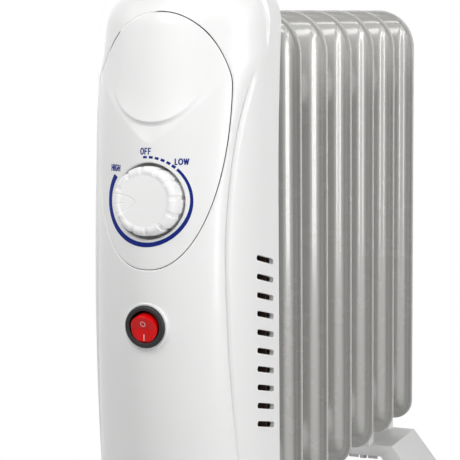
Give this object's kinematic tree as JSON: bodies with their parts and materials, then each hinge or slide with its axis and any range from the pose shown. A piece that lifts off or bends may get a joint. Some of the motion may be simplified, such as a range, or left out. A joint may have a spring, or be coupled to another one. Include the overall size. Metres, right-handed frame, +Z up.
{
  "type": "oil filled radiator heater",
  "caption": "Small oil filled radiator: moulded control housing with thermostat knob and lit rocker switch in front of a row of pressed steel fins on arched feet.",
  "frame": {"origin": "on the floor, under the middle of the heater", "axes": "-Y out of the control panel, +X to the right of someone who faces the panel, +Z up"},
  "size_m": [0.172, 0.3648, 0.378],
  "materials": {
    "white_plastic": "satin moulded white",
    "white_gloss": "gloss moulded white",
    "fin_paint": "semi-gloss baked paint",
    "zinc_steel": "zinc plated",
    "brass": "bright",
    "phenolic": "matte moulded",
    "black_plastic": "satin black",
    "red_plastic": "clear red, lit from inside",
    "neon_glass": "clear",
    "black_rubber": "matte",
    "brown_wire": "satin insulation",
    "pale_wire": "glass-fibre sleeve",
    "blue_wire": "satin insulation",
    "green_wire": "satin insulation"
  },
  "bodies": {
    "heater": {"housing_shell": "white_plastic", "control_cover": "white_plastic", "heat_shield": "zinc_steel", "shield_screws": "zinc_steel", "cord_gland": "black_plastic", "gland_nut": "black_plastic", "thermostat_bush": "brass", "thermostat_nut": "brass", "thermostat_body": "phenolic", "thermostat_blades": "brass", "switch_body": "black_plastic", "switch_blades": "brass", "neon_lamp": "neon_glass", "thermal_cutout": "phenolic", "cutout_clip": "zinc_steel", "cutout_blades": "brass", "terminal_block": "phenolic", "earth_screw": "brass", "supply_lead": "brown_wire", "switched_lead": "brown_wire", "cutout_lead": "pale_wire", "element_lead": "pale_wire", "neutral_lead": "blue_wire", "earth_lead": "green_wire", "element_plug": "brass", "element_gasket": "black_rubber", "element_tube": "zinc_steel", "element_pins": "zinc_steel", "fin_1": "fin_paint", "fin_2": "fin_paint", "fin_3": "fin_paint", "fin_4": "fin_paint", "fin_5": "fin_paint", "fin_6": "fin_paint", "fin_7": "fin_paint", "upper_collars": "fin_paint", "lower_collars": "fin_paint", "header_caps": "fin_paint", "filler_plug": "zinc_steel", "filler_washer": "black_rubber", "front_foot": "white_plastic", "rear_foot": "white_plastic", "foot_bolts": "zinc_steel", "wing_nuts": "zinc_steel", "foot_pads": "black_rubber"},
    "knob": {"control_knob": "white_gloss", "knob_clip": "zinc_steel", "thermostat_spindle": "zinc_steel"},
    "rocker": {"switch_rocker": "red_plastic"}
  },
  "joints": [
    {"name": "knob_turn", "type": "hinge", "parent": "heater", "child": "knob", "pos_m": [0, -0.17341, 0.26], "axis": [0, -0.9947, 0.1024], "range_deg": [-37, 263]},
    {"name": "rocker_tilt", "type": "hinge", "parent": "heater", "child": "rocker", "pos_m": [0, -0.17561, 0.1935], "axis": [-1, 0, 0], "range_deg": [0, 24]}
  ]
}
